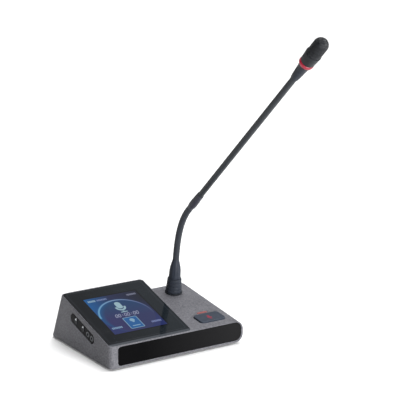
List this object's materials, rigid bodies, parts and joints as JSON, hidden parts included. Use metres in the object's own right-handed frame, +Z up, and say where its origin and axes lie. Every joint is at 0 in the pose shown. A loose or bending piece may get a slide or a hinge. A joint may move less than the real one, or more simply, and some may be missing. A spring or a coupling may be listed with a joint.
{
  "type": "conference delegate unit",
  "caption": "Wedge-shaped desk unit with a touch display, a lit talk key, side audio jacks and volume keys, and a bendable gooseneck microphone that plugs into its deck.",
  "frame": {"origin": "middle of the base plate's flat underside, which the four rubber feet hold 2 mm above the desk", "axes": "+Z up, -Y towards the person who speaks, +X to that person's right, where the microphone deck is"},
  "size_m": [0.1921, 0.3465, 0.4139],
  "materials": {
    "housing_metal": "grit-blasted, dark grey",
    "base_plastic": "fine texture, black",
    "feet_rubber": "matte black",
    "steel": "plain",
    "gloss_black": "polished black",
    "cover_glass": "dark, back-printed",
    "display_black": "black",
    "key_plastic": "dark slate, satin",
    "jack_metal": "bright ring",
    "board": "green circuit board",
    "red_light": "translucent red, lit",
    "socket_plastic": "satin black",
    "plug_metal": "turned",
    "gooseneck_rubber": "smooth black",
    "stem_paint": "satin black",
    "head_plastic": "satin dark grey",
    "grille": "fine mesh, black",
    "capsule_metal": "plain",
    "speaker_plastic": "black",
    "connector_metal": "shielded socket"
  },
  "bodies": {
    "base": {"top_housing": "housing_metal", "base_plate": "base_plastic", "rubber_foot_1": "feet_rubber", "rubber_foot_2": "feet_rubber", "rubber_foot_3": "feet_rubber", "rubber_foot_4": "feet_rubber", "base_screw_1": "steel", "base_screw_2": "steel", "base_screw_3": "steel", "base_screw_4": "steel", "board_screw_1": "steel", "board_screw_2": "steel", "front_fascia": "gloss_black", "screen_glass": "cover_glass", "lcd_module": "display_black", "lcd_bracket": "steel", "side_panel": "gloss_black", "headphone_jack": "jack_metal", "headset_mic_jack": "jack_metal", "side_board": "board", "volume_up_switch": "display_black", "volume_down_switch": "display_black", "button_light_bar": "red_light", "button_switch": "display_black", "deck_board": "board", "main_board": "board", "mic_socket": "socket_plastic", "socket_nut": "steel", "loudspeaker": "speaker_plastic", "ballast_plate": "steel", "connector_bay": "base_plastic", "network_socket_1": "connector_metal", "network_socket_2": "connector_metal"},
    "talk_key": {"mic_button": "key_plastic"},
    "volume_up": {"volume_up_button": "key_plastic"},
    "volume_down": {"volume_down_button": "key_plastic"},
    "microphone_foot": {"mic_plug": "plug_metal", "flex_boot": "gooseneck_rubber"},
    "ring": {"locking_ring": "socket_plastic"},
    "flex_1": {"flex_link_1": "gooseneck_rubber"},
    "flex_2": {"flex_link_2": "gooseneck_rubber"},
    "flex_3": {"flex_link_3": "gooseneck_rubber"},
    "flex_4": {"flex_link_4": "gooseneck_rubber"},
    "flex_5": {"flex_link_5": "gooseneck_rubber"},
    "flex_6": {"flex_link_6": "gooseneck_rubber"},
    "flex_7": {"flex_link_7": "gooseneck_rubber"},
    "microphone": {"flex_ferrule": "stem_paint", "stem_tube": "stem_paint", "neck_cone": "head_plastic", "light_ring": "red_light", "capsule_collar": "head_plastic", "windscreen": "grille", "mic_capsule": "capsule_metal"}
  },
  "joints": [
    {"name": "talk_key_press", "type": "slide", "parent": "base", "child": "talk_key", "axis": [0, 0.1214, -0.9926], "range_m": [0, 0.0012], "stiffness_N_per_m": 500, "springref_m": -0.001},
    {"name": "volume_up_press", "type": "slide", "parent": "base", "child": "volume_up", "axis": [1, 0, 0], "range_m": [0, 0.0006], "stiffness_N_per_m": 600, "springref_m": -0.0006},
    {"name": "volume_down_press", "type": "slide", "parent": "base", "child": "volume_down", "axis": [1, 0, 0], "range_m": [0, 0.0006], "stiffness_N_per_m": 600, "springref_m": -0.0006},
    {"name": "microphone_lift", "type": "slide", "parent": "base", "child": "microphone_foot", "axis": [0, -0.1214, 0.9926], "range_m": [0, 0.018]},
    {"name": "ring_turn", "type": "hinge", "parent": "microphone_foot", "child": "ring", "pos_m": [0.061, 0.03347, 0.04058], "axis": [0, -0.1214, 0.9926], "range_deg": [0, 60]},
    {"name": "flex_pitch_1", "type": "hinge", "parent": "microphone_foot", "child": "flex_1", "pos_m": [0.061, 0.0274, 0.09021], "axis": [1, 0, 0], "range_deg": [-22, 10]},
    {"name": "flex_side_1", "type": "hinge", "parent": "flex_1", "child": "flex_2", "pos_m": [0.061, 0.02592, 0.1003], "axis": [0, 0.981, 0.1938], "range_deg": [-14, 14]},
    {"name": "flex_pitch_2", "type": "hinge", "parent": "flex_2", "child": "flex_3", "pos_m": [0.061, 0.02394, 0.11031], "axis": [1, 0, 0], "range_deg": [-22, 10]},
    {"name": "flex_side_2", "type": "hinge", "parent": "flex_3", "child": "flex_4", "pos_m": [0.061, 0.0213, 0.12016], "axis": [0, 0.941, 0.3383], "range_deg": [-14, 14]},
    {"name": "flex_pitch_3", "type": "hinge", "parent": "flex_4", "child": "flex_5", "pos_m": [0.061, 0.01785, 0.12976], "axis": [1, 0, 0], "range_deg": [-22, 10]},
    {"name": "flex_side_3", "type": "hinge", "parent": "flex_5", "child": "flex_6", "pos_m": [0.061, 0.01348, 0.13897], "axis": [0, 0.8501, 0.5266], "range_deg": [-14, 14]},
    {"name": "flex_pitch_4", "type": "hinge", "parent": "flex_6", "child": "flex_7", "pos_m": [0.061, 0.00811, 0.14765], "axis": [1, 0, 0], "range_deg": [-22, 10]},
    {"name": "flex_side_4", "type": "hinge", "parent": "flex_7", "child": "microphone", "pos_m": [0.061, 0.00169, 0.15558], "axis": [0, 0.6823, 0.7311], "range_deg": [-14, 14]}
  ]
}
